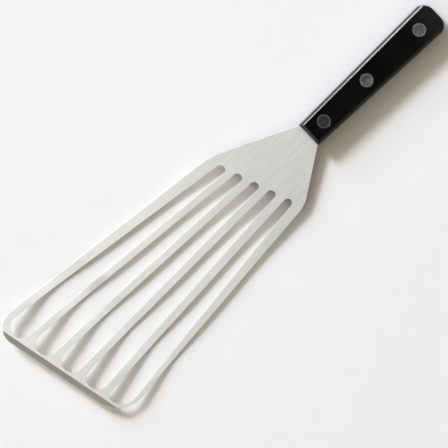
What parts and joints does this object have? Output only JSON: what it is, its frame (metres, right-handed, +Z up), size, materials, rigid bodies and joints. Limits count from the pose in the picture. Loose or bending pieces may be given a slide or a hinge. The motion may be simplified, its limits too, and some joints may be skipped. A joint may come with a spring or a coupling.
{
  "type": "slotted turner",
  "caption": "Thin steel turner with a fanned, slotted blade, a slanted bevelled front edge, a curled-up tip and a black riveted handle; lifts and drains delicate food.",
  "frame": {"origin": "middle of the tool's footprint, on the surface it lies on", "axes": "+X along the tool from the butt of the handle to the front edge of the blade, +Z up, out of the blade's upper, bevelled face"},
  "size_m": [0.2822, 0.0808, 0.014],
  "materials": {
    "blade_steel": "fine satin grain, ground bevel on the front edge",
    "handle_plastic": "buffed semi-gloss black",
    "rivet_metal": "ground flush, satin"
  },
  "bodies": {
    "root": {"blade": "blade_steel", "scale_top": "handle_plastic", "scale_bottom": "handle_plastic", "rivet_front_socket": "rivet_metal", "rivet_front_pin": "rivet_metal", "rivet_middle_socket": "rivet_metal", "rivet_middle_pin": "rivet_metal", "rivet_rear_socket": "rivet_metal", "rivet_rear_pin": "rivet_metal"}
  },
  "joints": []
}
